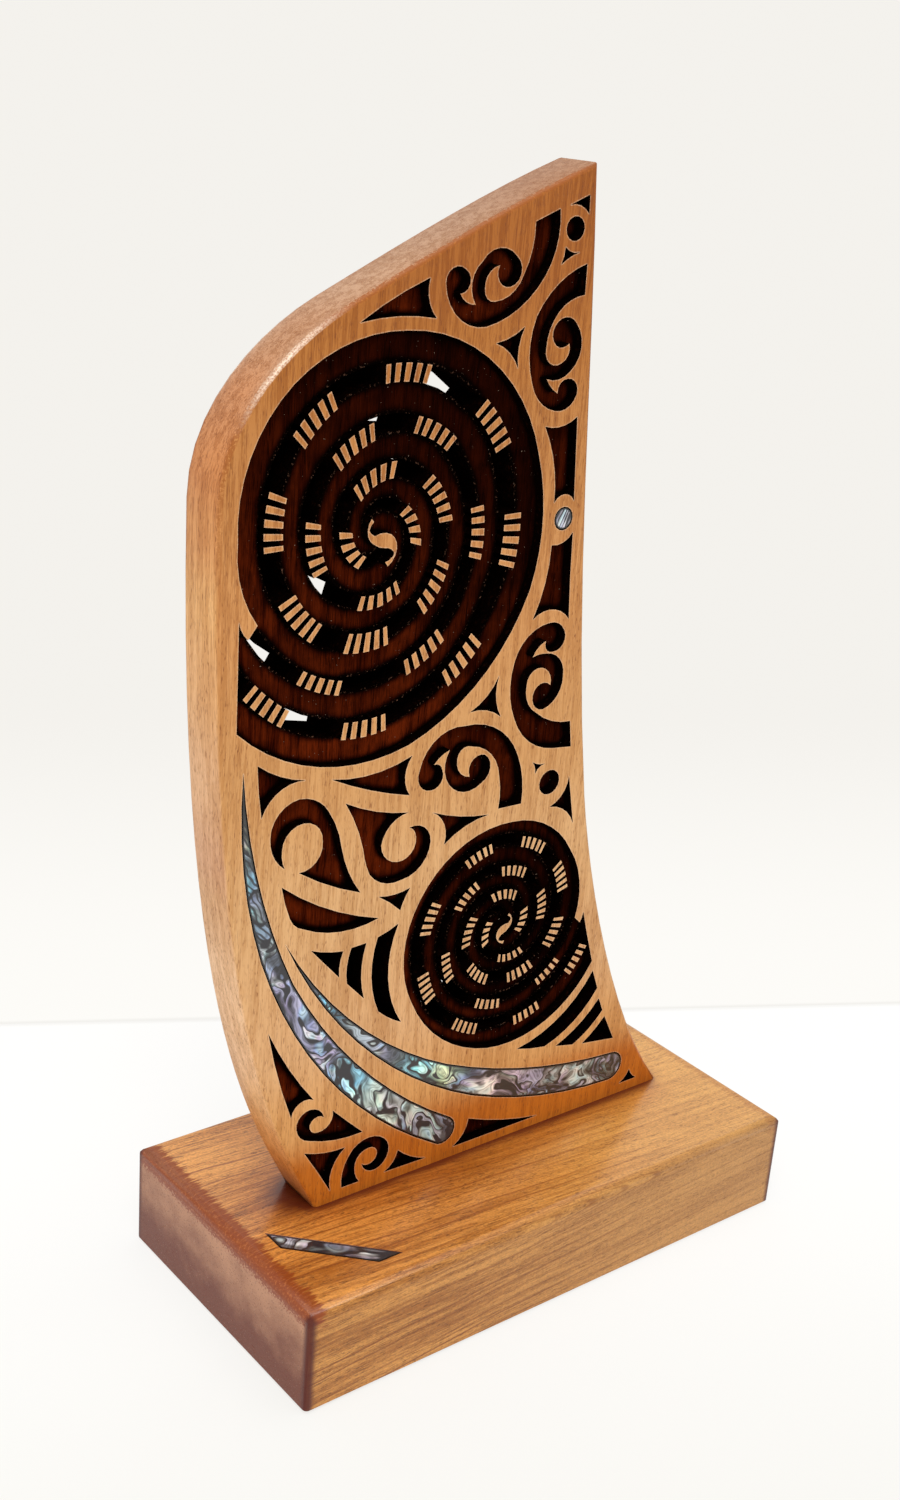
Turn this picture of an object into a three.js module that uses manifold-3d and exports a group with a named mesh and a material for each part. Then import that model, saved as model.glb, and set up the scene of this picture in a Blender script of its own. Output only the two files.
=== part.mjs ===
import * as THREE from 'three';
import { mergeVertices } from 'three/addons/utils/BufferGeometryUtils.js';
import Module from 'manifold-3d';

const wasm = await Module();
wasm.setup();

// Driving dimensions, in millimetres. The origin is under the middle of the base,
// with +X along the base, the carved face towards -Y and +Z up.
const baseLength = 199;
const baseDepth = 101;
const baseTop = 36;
const baseRoundOver = 4;
const baseCornerRadius = 1.5;
const feltThickness = 1;
const feltInset = 2;

const panelThickness = 17.5;
const panelFront = 8.5;
const panelRoundOver = 1.5;
const carvingDepth = 3;
const inlayThickness = 2;
const shellGap = 0.4;
const fitGap = 0.3;

const screwDiameter = 5;
const screwHeadDiameter = 9;
const screwHeadHeight = 3.5;
const screwLength = 38;
const screwSpacing = 60;
const counterboreDiameter = 11;
const counterboreTop = 19;

// How far a chord may lie from its arc, and the share of a free curve's bend that counts
const chordError = 0.09;
const freeCurveShare = 0.4;
const overshoot = 2;

const degree = Math.PI / 180;

// Finishes
const finishes = {
  panelTimber: { color: 0xcf9658, roughness: 0.45, metalness: 0 },
  baseTimber: { color: 0xc07b3e, roughness: 0.35, metalness: 0 },
  shell: { color: 0x8fa3a8, roughness: 0.15, metalness: 0.1 },
  steel: { color: 0xc9b36a, roughness: 0.35, metalness: 1 },
  felt: { color: 0x1f2420, roughness: 0.95, metalness: 0 },
};

// A drawn outline is a start point and steps: [x, y] is a straight line to x, y,
// [a, b, x, y] is an arc that passes a, b on its way to x, y, and
// [a, b, c, d, x, y] is a free curve to x, y with handles a, b and c, d.
function arcCentre(p, via, q) {
  const ax = via.x - p.x;
  const ay = via.y - p.y;
  const bx = q.x - p.x;
  const by = q.y - p.y;
  const cross = 2 * (ax * by - ay * bx);
  if (Math.abs(cross) < 1e-3) return null;
  const a2 = ax * ax + ay * ay;
  const b2 = bx * bx + by * by;
  return new THREE.Vector2(p.x + (by * a2 - ay * b2) / cross, p.y + (ax * b2 - bx * a2) / cross);
}

function arcPoints(p, via, q) {
  const centre = arcCentre(p, via, q);
  if (!centre) return [q];
  const radius = centre.distanceTo(p);
  const angleOf = (point) => Math.atan2(point.y - centre.y, point.x - centre.x);
  const from = angleOf(p);
  const full = 2 * Math.PI;
  const turnTo = (point) => (angleOf(point) - from + 2 * full) % full;
  const sweep = turnTo(via) < turnTo(q) ? turnTo(q) : turnTo(q) - full;
  const step = 2 * Math.acos(1 - Math.min(chordError / radius, 0.2));
  const count = Math.max(1, Math.ceil(Math.abs(sweep) / step));
  const points = [];
  for (let i = 1; i < count; i++) {
    const angle = from + (sweep * i) / count;
    const direction = new THREE.Vector2(Math.cos(angle), Math.sin(angle));
    points.push(centre.clone().addScaledVector(direction, radius));
  }
  points.push(q);
  return points;
}

function freePoints(p, a, b, q) {
  const early = p.clone().addScaledVector(a, -2).add(b).length();
  const late = a.clone().addScaledVector(b, -2).add(q).length();
  const count = Math.max(1, Math.ceil(Math.sqrt((freeCurveShare * Math.max(early, late)) / chordError)));
  return new THREE.CubicBezierCurve(p, a, b, q).getPoints(count).slice(1);
}

function trace(start, ...steps) {
  const points = [new THREE.Vector2(...start)];
  for (const step of steps) {
    const last = points[points.length - 1];
    const [a, b, c] = [0, 2, 4].map((i) => new THREE.Vector2(...step.slice(i, i + 2)));
    if (step.length === 2) points.push(a);
    if (step.length === 4) points.push(...arcPoints(last, a, b));
    if (step.length === 6) points.push(...freePoints(last, a, b, c));
  }
  if (points[points.length - 1].distanceTo(points[0]) < 1e-6) points.pop();
  return points;
}

function disc(x, y, radius) {
  return trace([x - radius, y], [x, y - radius, x + radius, y], [x, y + radius, x - radius, y]);
}

// The same outline drawn smaller all round, for a piece that is let into a pocket
function shrink(points, distance) {
  const clockwise = THREE.ShapeUtils.isClockWise(points) ? -1 : 1;
  return points.map((point, i) => {
    const before = points[(i + points.length - 1) % points.length];
    const after = points[(i + 1) % points.length];
    const into = point.clone().sub(before).normalize();
    const out = after.clone().sub(point).normalize();
    const left = new THREE.Vector2(-into.y - out.y, into.x + out.x).multiplyScalar(clockwise);
    const reach = distance / Math.max(0.5 * left.length(), 0.3);
    return point.clone().addScaledVector(left.normalize(), reach);
  });
}

// The panel's outline: a straight foot, a hollow right side that rises to the tip of the
// crown, and a long belly on the left.
const panelOutline = trace(
  [-70, baseTop],
  [78.5, baseTop],
  [52.3, 68.9, 34.9, 125, 28.9, 156.2],
  [15.5, 227, 14, 295.5, 7.8, 350.4],
  [-18.2, 341.2, -53.5, 323.4, -73.6, 313.4],
  [-91.2, 304.6, -111.3, 286.8, -111.3, 262.6],
  [-111.3, 102.4, -80.8, 58.6, -70, baseTop],
);

// Pockets carved to the carving depth
const pockets = {
  crownTriangle: trace([-1.3, 339], [5.7, 341.9], [6, 336.6], [3, 338.8, -1.3, 339]),
  crownDot: disc(1.4, 332.7, 3.4),
  crownStar: trace(
    [-1.7, 327.8],
    [0.3, 326.5, 3.8, 326.3],
    [0.2, 324.9, -2.8, 322.9],
    [-1.9, 325.3, -1.7, 327.8],
  ),
  crownKoru: trace(
    [-13.3, 334.5],
    [-4.8, 338],
    [-4.9, 328, -8.2, 320],
    [-16.5, 311.5, -28, 306.6],
    [-39.3, 310.5, -43, 318.5],
    [-40.5, 322.6, -36.5, 322],
    [-34.6, 318.5, -37.9, 315.6],
    [-35.5, 313.3, -32.3, 312.6],
    [-34.1, 317.5, -31, 324],
    [-25, 327.6, -18.8, 325.2],
    [-16.9, 320.8, -20.5, 317.2],
    [-24.3, 318.4, -24.8, 323],
    [-28.7, 320.5, -29.5, 316.8],
    [-28, 313.8, -25.5, 313.3],
    [-20, 315.2, -16, 320.5],
    [-13.8, 326.5, -13.3, 334.5],
  ),
  shoulderLeaf: trace(
    [-70.4, 308.8],
    [-56, 310.2, -45.3, 309.3],
    [-48.4, 314.6, -48.3, 320],
    [-60, 314.8, -70.4, 308.8],
  ),
  shoulderStar: trace(
    [-24, 302],
    [-18, 303.8, -14, 306.3],
    [-15.7, 300.5, -15.3, 294.7],
    [-19, 299.4, -24, 302],
  ),
  edgeKoru: trace(
    [7.3, 314.6],
    [7.1, 323.2],
    [-3.5, 317.3, -10, 309],
    [-11.6, 300, -9.5, 290],
    [-5, 284, 0, 282],
    [5.5, 283.2, 7.8, 286.5],
    [6.5, 290.3, 3.8, 291.1],
    [1.2, 290, 0.3, 287],
    [-2.3, 288.8, -4.3, 291.3],
    [0.5, 291, 4.5, 293.2],
    [7.9, 300, 5.2, 306.7],
    [0.7, 308.5, -2.8, 306.2],
    [-3, 302, -0.5, 300],
    [1.5, 300.2, 3.1, 301.1],
    [3.3, 298.5, 0.8, 295.6],
    [-3.5, 295.6, -5.5, 300],
    [-3.9, 307, 0, 311.8],
    [3.5, 313.7, 7.3, 314.6],
  ),
  upperStem: trace(
    [-3.2, 277.7],
    [1.1, 268, 3, 254.7],
    [6.7, 257.1, 10.8, 254.7],
    [9.9, 267.5, 8.9, 279.9],
    [3, 277.3, -3.2, 277.7],
  ),
  lowerStem: trace(
    [3.6, 241.9],
    [7.8, 242.2, 11.6, 245.2],
    [12.3, 231, 13.4, 217.9],
    [5.9, 221.8, -1.2, 219.4],
    [2.6, 231, 3.6, 241.9],
  ),
  middleKoru: trace(
    [18.3, 183.9],
    [10, 185.4, 3.6, 189.1],
    [-0.5, 193.6, -1.2, 198.6],
    [1, 202.9, 4.5, 203.5],
    [7.7, 201.2, 8.5, 197.3],
    [5.4, 198.5, 2.2, 196.5],
    [2.2, 192, 6.2, 189.7],
    [11.5, 193, 13.4, 199.5],
    [11.5, 205.2, 5.5, 207.9],
    [2.7, 208, 0.2, 207.4],
    [2.2, 210.3, 5, 212],
    [5.2, 209.5, 8.2, 208.1],
    [11.9, 209.8, 12.7, 212.9],
    [10.9, 216, 6, 217.6],
    [-2.5, 214.2, -7, 206.5],
    [-7.7, 198, -5, 188.5],
    [2, 179.7, 12, 175.9],
    [19.7, 175.1],
  ),
  middleStar: trace(
    [4.2, 172.6],
    [6.8, 171.4, 9.5, 171.2],
    [7, 170.2, 5.7, 168.4],
    [5.3, 170.8, 4.2, 172.6],
  ),
  middleDot: disc(12, 164.4, 4.15),
  middleThorn: trace(
    [20.3, 165],
    [18.3, 159.2, 13.2, 155.7],
    [19.5, 153.5, 24.1, 147.8],
    [21.9, 157.4, 20.3, 165],
  ),
  waistStar: trace(
    [-12.5, 203.5],
    [-16.2, 198, -22.7, 193.5],
    [-16.8, 193.2, -10.5, 190.1],
    [-13, 196.4, -12.5, 203.5],
  ),
  heartKoru: trace(
    [-8.3, 159.4],
    [1, 159.3],
    [0.4, 168.5, -4.2, 179.6],
    [-13, 187.2, -24.2, 189.4],
    [-34.8, 186.9, -40.2, 178],
    [-39.4, 172.6, -35.4, 170.8],
    [-31.5, 173.2, -31.7, 176.8],
    [-33, 178.6, -35, 178.9],
    [-32.5, 181.2, -29.3, 182.7],
    [-30.6, 175.5, -27, 169.7],
    [-21.5, 167.7, -16, 169.5],
    [-12.9, 174.5, -15.5, 178.7],
    [-19.3, 178.4, -21.3, 175.5],
    [-21.3, 173.9, -20.9, 172.5],
    [-25, 174.7, -26.2, 179],
    [-24.8, 181.9, -21, 182.3],
    [-13.3, 178.7, -9, 170.3],
    [-8.1, 165, -8.3, 159.4],
  ),
  heartThorn: trace(
    [-34.2, 163.4],
    [-23.3, 159.9, -11.8, 158.2],
    [-20.4, 156.4, -28.8, 151.7],
    [-29, 157.9, -34.2, 163.4],
  ),
  bellyKoru: trace(
    [-66.5, 172.8],
    [-55, 167.9, -43.3, 165.3],
    [-49.6, 162.6, -52.7, 156.5],
    [-50.3, 151.6, -44.3, 149.9],
    [-40.2, 153.3, -40.3, 158.2],
    [-41.3, 159.5, -42.7, 160.2],
    [-37, 159.3, -34.1, 154],
    [-36.6, 147.2, -44.2, 143.5],
    [-51.5, 144.1, -56.3, 147.9],
    [-58.2, 152.5, -59.2, 156.7],
    [-62.1, 164.8, -66.5, 172.8],
  ),
  bellyThorn: trace(
    [-71.8, 181.2],
    [-56.5, 180.2, -43.3, 183.4],
    [-45.5, 177.3, -43.3, 170.8],
    [-57, 174.9, -71.8, 181.2],
  ),
  flankKoru: trace(
    [-86.5, 156.5],
    [-90.3, 160.8, -91.8, 167],
    [-89, 174.3, -82.5, 177.3],
    [-76.5, 175.6, -72.2, 171.4],
    [-69, 165.6, -67, 158.9],
    [-63.6, 149.6, -59.3, 142.8],
    [-71, 147.9, -81.6, 154.2],
    [-75.8, 156.3, -73.8, 162.3],
    [-80.7, 169.5, -87.7, 162.4],
    [-87.5, 159.2, -86.5, 156.5],
  ),
  flankThorn: trace(
    [-96.9, 190],
    [-89.3, 185.4, -80.7, 182.7],
    [-90.5, 180.2, -95, 173.8],
    [-96.1, 181, -96.9, 190],
  ),
  flankBlade: trace(
    [-87.3, 151],
    [-71, 140.3, -51.9, 132.6],
    [-66, 131.5, -79, 135.6],
    [-82.3, 137.6, -84, 140.2],
    [-85.6, 144.5, -87.3, 151],
  ),
  hollowStar: trace(
    [-52.5, 139.8],
    [-46.5, 139.1, -40.6, 140.1],
    [-42.5, 137, -43.9, 133.2],
    [-47.8, 136.6, -52.5, 139.8],
  ),
  keelBlade: trace(
    [-89.8, 104.2],
    [-82.3, 90.3, -72.3, 76],
    [-77.8, 76.2, -80.3, 72.1],
    [-85.3, 86.5, -89.8, 104.2],
  ),
  keelHook: trace(
    [-52.9, 58.1],
    [-64, 58.8, -73.3, 61.7],
    [-77.5, 65.2, -78.2, 69],
    [-75.3, 72.5, -71.7, 72.5],
    [-69.3, 70.9, -68.1, 68.5],
    [-71, 69.4, -73.3, 67.3],
    [-72.6, 64.8, -70, 63.7],
    [-65.9, 65.3, -64.9, 69.8],
    [-59.5, 64.4, -52.9, 58.1],
  ),
  heelThorn: trace(
    [-74.8, 57.7],
    [-67, 55.2, -59.3, 54.6],
    [-64.1, 48, -64.2, 40.2],
    [-69.6, 49.4, -74.8, 57.7],
  ),
  heelKoru: trace(
    [-59.9, 39.9],
    [-59.5, 46.8, -56.2, 52.8],
    [-50, 55.1, -44, 52.6],
    [-42, 48, -43.7, 43.8],
    [-48, 42.1, -52.5, 46],
    [-49.5, 45, -46.9, 46.7],
    [-47.2, 50, -50, 51.2],
    [-54, 49.4, -55.2, 45.4],
    [-54.8, 42.8, -53.1, 39.8],
  ),
  heelStar: trace([-43.3, 39.7], [-39.6, 42.6, -38.2, 46.2], [-33.5, 42.4, -26.5, 39.2]),
  footThorn: trace([-15.2, 39.5], [-10.9, 43.4, -9.3, 48.3], [4.5, 43.2, 21.4, 39.3]),
  toeStar: trace([59.8, 39.7], [62.6, 41.6, 64.2, 44.2], [65.7, 41.5, 68, 39.7]),
};

// Openings cut right through the panel, apart from the two spirals
const openings = {
  fanNear: trace([-76, 127.8], [-70.2, 125.8, -64.3, 124.7], [-65.4, 120.5, -65.3, 116.1]),
  fanMiddle: trace(
    [-61.4, 125],
    [-62.7, 119, -62.3, 113.2],
    [-55.6, 106.3],
    [-57.2, 115.5, -55.9, 125.3],
  ),
  fanFar: trace(
    [-51.8, 126.1],
    [-53.2, 112.5, -49.8, 100.2],
    [-45.5, 96.7, -40.6, 93.8],
    [-47, 114, -44.2, 128.9],
    [-48, 127.2, -51.8, 126.1],
  ),
  waveNear: trace(
    [9.2, 69],
    [15.5, 67.3, 21.8, 66.2],
    [33.5, 71.8, 43.7, 82.5],
    [40.6, 90],
    [30, 77.9, 9.2, 69],
  ),
  waveMiddle: trace(
    [26.9, 64.8],
    [34.8, 63],
    [42.2, 67.6, 47.4, 72.8],
    [45, 78.1],
    [37, 70.4, 26.9, 64.8],
  ),
  waveFar: trace([39.3, 62.1], [54.2, 59.8], [48.7, 70.1], [44.8, 66.2, 39.3, 62.1]),
};

// Pockets for the shell, each a little wider than its inlay
const shellPockets = {
  eye: disc(7.3, 249.7, 3.6),
  sternCrescent: trace(
    [-101.4, 188.7],
    [-100.5, 160.5, -93.3, 128.3],
    [-65.8, 79.8, -23.3, 43.6],
    [-16.1, 44.4, -17.2, 51.5],
    [-48.5, 75.4, -81.7, 118.3],
    [-94.7, 152.5, -101.4, 188.7],
  ),
  keelCrescent: trace(
    [-85.2, 132.3],
    [-57.8, 98, -20.4, 72.5],
    [12, 60.9, 54, 54],
    [59.6, 49.5, 54, 43],
    [23.5, 46.7, -8.8, 57],
    [-50.5, 85, -85.2, 132.3],
  ),
};

// The pierced double spiral. Two arms of open slot wind in from the rim to an island at
// the centre, with a recessed ridge between them. Groups of small bars cross each slot and
// hold the ridges together. Lengths are those of the large spiral.
const barWidths = [1.5, 1.8, 1.9, 1.8, 1.5];
const barSpacing = 1.55;
const lastGroupBars = 4;
const outerRadius = 46;
const innermostBarScale = 0.88;
const chordAngle = 11;

// Each arm as [angle, radius, slot width] at its outer end, at each group of bars and at its
// inner end. The angle is in degrees along the arm and goes on past 360 as it winds in.
const arms = [
  [
    [-160, 56.4, 5],
    [-130, 54.8, 5],
    [-92, 53, 4.8],
    [-50, 49.9, 5.3],
    [-7, 47.4, 6.1],
    [35, 45.5, 5.7],
    [82, 41.8, 4.8],
    [127, 38.9, 5.1],
    [170.5, 35.5, 6],
    [218, 32.3, 5.8],
    [265, 28.8, 5.3],
    [321.5, 25.5, 4.7],
    [382.5, 21.2, 4.6],
    [463, 15.5, 4.5],
    [561, 10.5, 4.2],
    [690, 4, 2],
  ],
  [
    [30, 45, 4],
    [65, 42.4, 4],
    [117.5, 38.7, 4.5],
    [176, 34.5, 4.6],
    [237.5, 30.6, 4.6],
    [294, 26.1, 4.7],
    [365.5, 22, 4.9],
    [453.5, 17.5, 3.7],
    [551, 11, 3.8],
    [690, 4, 2],
  ],
];

// The island at the centre: a leaning leaf with a thin tail at each end
const island = trace(
  [-3.4, 4.5],
  [-4.3, 2.9, -4.5, 1.2],
  [-3.9, -0.9, -2.2, -2.4],
  [-0.4, -3.3, 1.8, -3.7],
  [3.5, -4, 4.8, -5],
  [4.9, -5.6, 4.2, -6.4],
  [3.3, -7.1, 2, -7.5],
  [3, -8.7],
  [5.1, -6.5, 5.8, -4.2],
  [5.4, -2.1, 3.6, -0.2],
  [1.4, 0.4, -2, -0.2],
  [-3.1, 0.4, -4, 1.3],
  [-3.6, 2.5, -2.6, 3.6],
);

const bigSpiral = {
  centre: [-59.6, 251.35],
  size: 1,
  stretch: 1.065,
  mirror: 1,
  turn: 0,
  rim: trace(
    [-98.5, 230.4],
    [-103.8, 240.5, -105.4, 253.5],
    [-102.2, 276, -90, 293.8],
    [-73.8, 303.4, -55, 306.4],
    [-22, 295.2, -4.6, 269.5],
    [-0.8, 250.5, -3.4, 229],
    [-18.5, 204.6, -45, 187],
    [-75.6, 185.7, -104, 200.5],
    [-104.3, 232],
    [-103.2, 229, -101.3, 226.7],
  ),
};

const smallSpiral = {
  centre: [-1.16, 117.63],
  size: 0.71,
  stretch: 1.016,
  mirror: -1,
  turn: 18,
  rim: trace(
    [29.5, 112.6],
    [30.2, 124, 24.2, 138.6],
    [13, 149.6, -2, 153.7],
    [-22.5, 149, -36.5, 134.8],
    [-41.3, 117, -37, 99.6],
    [-24.2, 83.1, -4, 73.4],
    [20, 76, 39.7, 93.8],
    [35.3, 107],
    [33.2, 113.9],
    [32.7, 111.9, 32, 110.3],
  ),
};

// An arm's radius and slot width at any angle, smoothly between the places given
const armShapes = arms.map((places) => {
  const angles = places.map(([angle]) => angle);
  const shapes = places.flatMap(([, radius, width]) => [radius, width]);
  return new THREE.CubicInterpolant(angles, shapes, 2);
});

// A place on a spiral, from its radius and its angle in degrees
function place(spiral, radius, angle) {
  const reach = radius * spiral.size;
  const direction = (angle - spiral.turn) * degree;
  return new THREE.Vector2(
    spiral.centre[0] + spiral.mirror * reach * Math.cos(direction),
    spiral.centre[1] + spiral.stretch * reach * Math.sin(direction),
  );
}

// The part of an arm's slot between two angles, as an outline
function slotCell(spiral, arm, from, to) {
  const count = Math.ceil((to - from) / chordAngle);
  const outer = [];
  const inner = [];
  for (let i = 0; i <= count; i++) {
    const angle = from + ((to - from) * i) / count;
    const [radius, width] = armShapes[arm].evaluate(angle);
    const direction = angle - 180 * arm;
    outer.push(place(spiral, radius + width / 2, direction));
    inner.unshift(place(spiral, radius - width / 2, direction));
  }
  return [...outer, ...inner];
}

// The angles where each bar of a group starts and ends
function barAngles(middle, radius, count) {
  const widths = barWidths.slice(0, count);
  const length = widths.reduce((sum, width) => sum + width, 0) + barSpacing * (count - 1);
  const scale = innermostBarScale + ((1 - innermostBarScale) * radius) / outerRadius;
  const perMillimetre = scale / (radius * degree);
  let at = middle - 0.5 * length * perMillimetre;
  return widths.map((width) => {
    const bar = [at, at + width * perMillimetre];
    at = bar[1] + barSpacing * perMillimetre;
    return bar;
  });
}

// The bars and the open cells of both arms, as outlines
function spiralParts(spiral) {
  const bars = [];
  const cells = [];
  arms.forEach((places, arm) => {
    const groups = places.slice(1, -1);
    let open = places[0][0];
    groups.forEach(([middle, radius], i) => {
      const count = i === groups.length - 1 ? lastGroupBars : barWidths.length;
      for (const [from, to] of barAngles(middle, radius, count)) {
        cells.push(slotCell(spiral, arm, open, from));
        bars.push(slotCell(spiral, arm, from, to));
        open = to;
      }
    });
    cells.push(slotCell(spiral, arm, open, places[places.length - 1][0]));
  });
  return { bars, cells };
}

function islandOutline(spiral) {
  return island.map((point) => place(spiral, point.length(), point.angle() / degree));
}

// Solids
function solidOf(geometry) {
  const bare = geometry.clone();
  bare.deleteAttribute('normal');
  bare.deleteAttribute('uv');
  const merged = mergeVertices(bare, 1e-5);
  return new wasm.Manifold(new wasm.Mesh({
    numProp: 3,
    vertProperties: new Float32Array(merged.attributes.position.array),
    triVerts: new Uint32Array(merged.index.array),
  }));
}

function geometryOf(solid) {
  const mesh = solid.getMesh();
  const geometry = new THREE.BufferGeometry();
  geometry.setAttribute('position', new THREE.BufferAttribute(new Float32Array(mesh.vertProperties), 3));
  geometry.setIndex(new THREE.BufferAttribute(new Uint32Array(mesh.triVerts), 1));
  geometry.computeVertexNormals();
  return geometry;
}

// A drawn outline as a plate between two heights above the drawing plane
function plate(points, low, high, bevel = {}) {
  const shape = new THREE.Shape(points);
  const settings = { depth: high - low, bevelEnabled: false, ...bevel };
  return new THREE.ExtrudeGeometry(shape, settings).translate(0, 0, low);
}

function plates(outlines, low, high) {
  return wasm.Manifold.union(outlines.map((points) => solidOf(plate(points, low, high))));
}

function cylinder(diameter, length, sides = 32) {
  return new THREE.CylinderGeometry(diameter / 2, diameter / 2, length, sides);
}

function piece(name, geometry, finish) {
  const mesh = new THREE.Mesh(geometry, new THREE.MeshStandardMaterial(finishes[finish]));
  mesh.name = name;
  return mesh;
}

const back = panelFront - panelThickness;
const carvedFloor = panelFront - carvingDepth;
const shellFloor = panelFront - inlayThickness;
const screwPlaces = [-screwSpacing / 2, screwSpacing / 2];

// The panel is drawn lying on its back: x along the base, y up, z towards the viewer.
// Its outline runs on below the foot, so that the round-over stops at a square foot.
function carvedPanel() {
  const below = 3 * panelRoundOver;
  const [heel, toe, ...edge] = panelOutline;
  const sunk = [heel, toe].map((point) => point.clone().setY(baseTop - below));
  const blank = [...sunk, toe, ...edge, heel];
  const rounded = {
    bevelEnabled: true,
    bevelSize: panelRoundOver,
    bevelThickness: panelRoundOver,
    bevelOffset: -panelRoundOver,
    bevelSegments: 3,
  };
  let solid = solidOf(plate(blank, back + panelRoundOver, panelFront - panelRoundOver, rounded));
  const floorCut = new THREE.BoxGeometry(2 * baseLength, 2 * below, 2 * panelThickness);
  solid = solid.subtract(solidOf(floorCut.translate(0, baseTop - below, 0)));

  solid = solid.subtract(plates(Object.values(pockets), carvedFloor, panelFront + overshoot));
  solid = solid.subtract(plates(Object.values(openings), back - overshoot, panelFront + overshoot));
  solid = solid.subtract(plates(Object.values(shellPockets), shellFloor, panelFront + overshoot));

  for (const spiral of [bigSpiral, smallSpiral]) {
    const { bars, cells } = spiralParts(spiral);
    const centre = islandOutline(spiral);
    const standing = plates([...bars, centre], carvedFloor, panelFront + overshoot);
    const recess = plates([spiral.rim], carvedFloor, panelFront + overshoot);
    solid = solid.subtract(recess.subtract(standing));
    const within = plates([spiral.rim], back - overshoot, panelFront + overshoot);
    const slots = plates(cells, back - overshoot, panelFront + overshoot).intersect(within);
    const core = plates([centre], back - 2 * overshoot, panelFront + 2 * overshoot);
    solid = solid.subtract(slots.subtract(core));
  }

  const pilotDepth = counterboreTop + screwLength - baseTop + overshoot;
  for (const x of screwPlaces) {
    const pilot = cylinder(screwDiameter + 2 * fitGap, 2 * pilotDepth);
    solid = solid.subtract(solidOf(pilot.translate(x, baseTop, 0)));
  }
  return geometryOf(solid);
}

function inlay(name) {
  return plate(shrink(shellPockets[name], shellGap), shellFloor, panelFront);
}

// The base: a block with its upper edges rounded over
const stripWidth = 6.3;
const stripEndMargin = 9.6;
const stripFrontMargin = 9.1;
const stripFarReach = 30.3;

function roundedTop(length, height) {
  const r = baseRoundOver;
  const half = length / 2;
  const d = r * (1 - Math.SQRT1_2);
  return trace(
    [-half, feltThickness],
    [half, feltThickness],
    [half, height - r],
    [half - d, height - d, half - r, height],
    [r - half, height],
    [d - half, height - d, -half, height - r],
  );
}

function roundedPlan(length, depth, r) {
  const x = length / 2;
  const y = depth / 2;
  const d = r * (1 - Math.SQRT1_2);
  return trace(
    [-x, r - y],
    [d - x, d - y, r - x, -y],
    [x - r, -y],
    [x - d, d - y, x, r - y],
    [x, y - r],
    [x - d, y - d, x - r, y],
    [r - x, y],
    [d - x, y - d, -x, y - r],
  );
}

// The shell strip crosses the front left corner at 45 degrees, and its ends are cut
// parallel to the base's edges.
function stripOutline() {
  const endX = stripEndMargin - baseLength / 2;
  const frontY = stripFrontMargin - baseDepth / 2;
  const skew = stripWidth * Math.SQRT2;
  return [[0, stripFarReach], [0, stripFarReach - skew], [stripFarReach - skew, 0], [stripFarReach, 0]]
    .map(([x, y]) => new THREE.Vector2(endX + x, frontY + y));
}

function baseBlock() {
  const along = plate(roundedTop(baseLength, baseTop), -baseDepth, baseDepth).rotateX(Math.PI / 2);
  const across = plate(roundedTop(baseDepth, baseTop), -baseLength, baseLength).rotateX(Math.PI / 2);
  across.rotateZ(Math.PI / 2);
  const plan = plate(roundedPlan(baseLength, baseDepth, baseCornerRadius), 0, baseTop + overshoot);
  let solid = solidOf(along).intersect(solidOf(across)).intersect(solidOf(plan));
  solid = solid.subtract(solidOf(plate(stripOutline(), baseTop - inlayThickness, baseTop + overshoot)));
  for (const x of screwPlaces) {
    const hole = cylinder(screwDiameter + 2 * fitGap, 4 * baseTop).rotateX(Math.PI / 2);
    const counterbore = cylinder(counterboreDiameter, 2 * counterboreTop).rotateX(Math.PI / 2);
    solid = solid.subtract(solidOf(hole.translate(x, 0, 0)));
    solid = solid.subtract(solidOf(counterbore.translate(x, 0, 0)));
  }
  return geometryOf(solid);
}

function cornerStrip() {
  return plate(shrink(stripOutline(), shellGap), baseTop - inlayThickness, baseTop);
}

function feltSheet() {
  const length = baseLength - 2 * feltInset;
  const depth = baseDepth - 2 * feltInset;
  return new THREE.BoxGeometry(length, depth, feltThickness).translate(0, 0, feltThickness / 2);
}

// A pan-head wood screw, driven up from the counterbore into the panel's foot
function woodScrew() {
  const shank = screwDiameter / 2;
  const head = screwHeadDiameter / 2;
  const profile = [
    [0, -screwHeadHeight],
    [head - 1.2, -screwHeadHeight],
    [head - 0.3, -screwHeadHeight + 0.9],
    [head, -screwHeadHeight + 2],
    [head, 0],
    [shank, 0],
    [shank, screwLength - 5],
    [0, screwLength],
  ].map(([r, y]) => new THREE.Vector2(r, y));
  return new THREE.LatheGeometry(profile, 24).rotateX(Math.PI / 2);
}

const carving = new THREE.Group();
carving.rotation.x = Math.PI / 2;
carving.add(
  piece('carved_panel', carvedPanel(), 'panelTimber'),
  piece('stern_crescent_inlay', inlay('sternCrescent'), 'shell'),
  piece('keel_crescent_inlay', inlay('keelCrescent'), 'shell'),
  piece('eye_inlay', inlay('eye'), 'shell'),
);

const canoeStern = new THREE.Group();
canoeStern.add(
  carving,
  piece('base_block', baseBlock(), 'baseTimber'),
  piece('base_corner_inlay', cornerStrip(), 'shell'),
  piece('base_felt', feltSheet(), 'felt'),
);
screwPlaces.forEach((x, i) => {
  const screw = piece(`foot_screw_${i + 1}`, woodScrew(), 'steel');
  screw.position.set(x, 0, counterboreTop);
  canoeStern.add(screw);
});

export default canoeStern;
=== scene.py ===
import math

import bmesh
import bpy
from mathutils import Matrix, Vector
from mathutils.bvhtree import BVHTree


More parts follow.
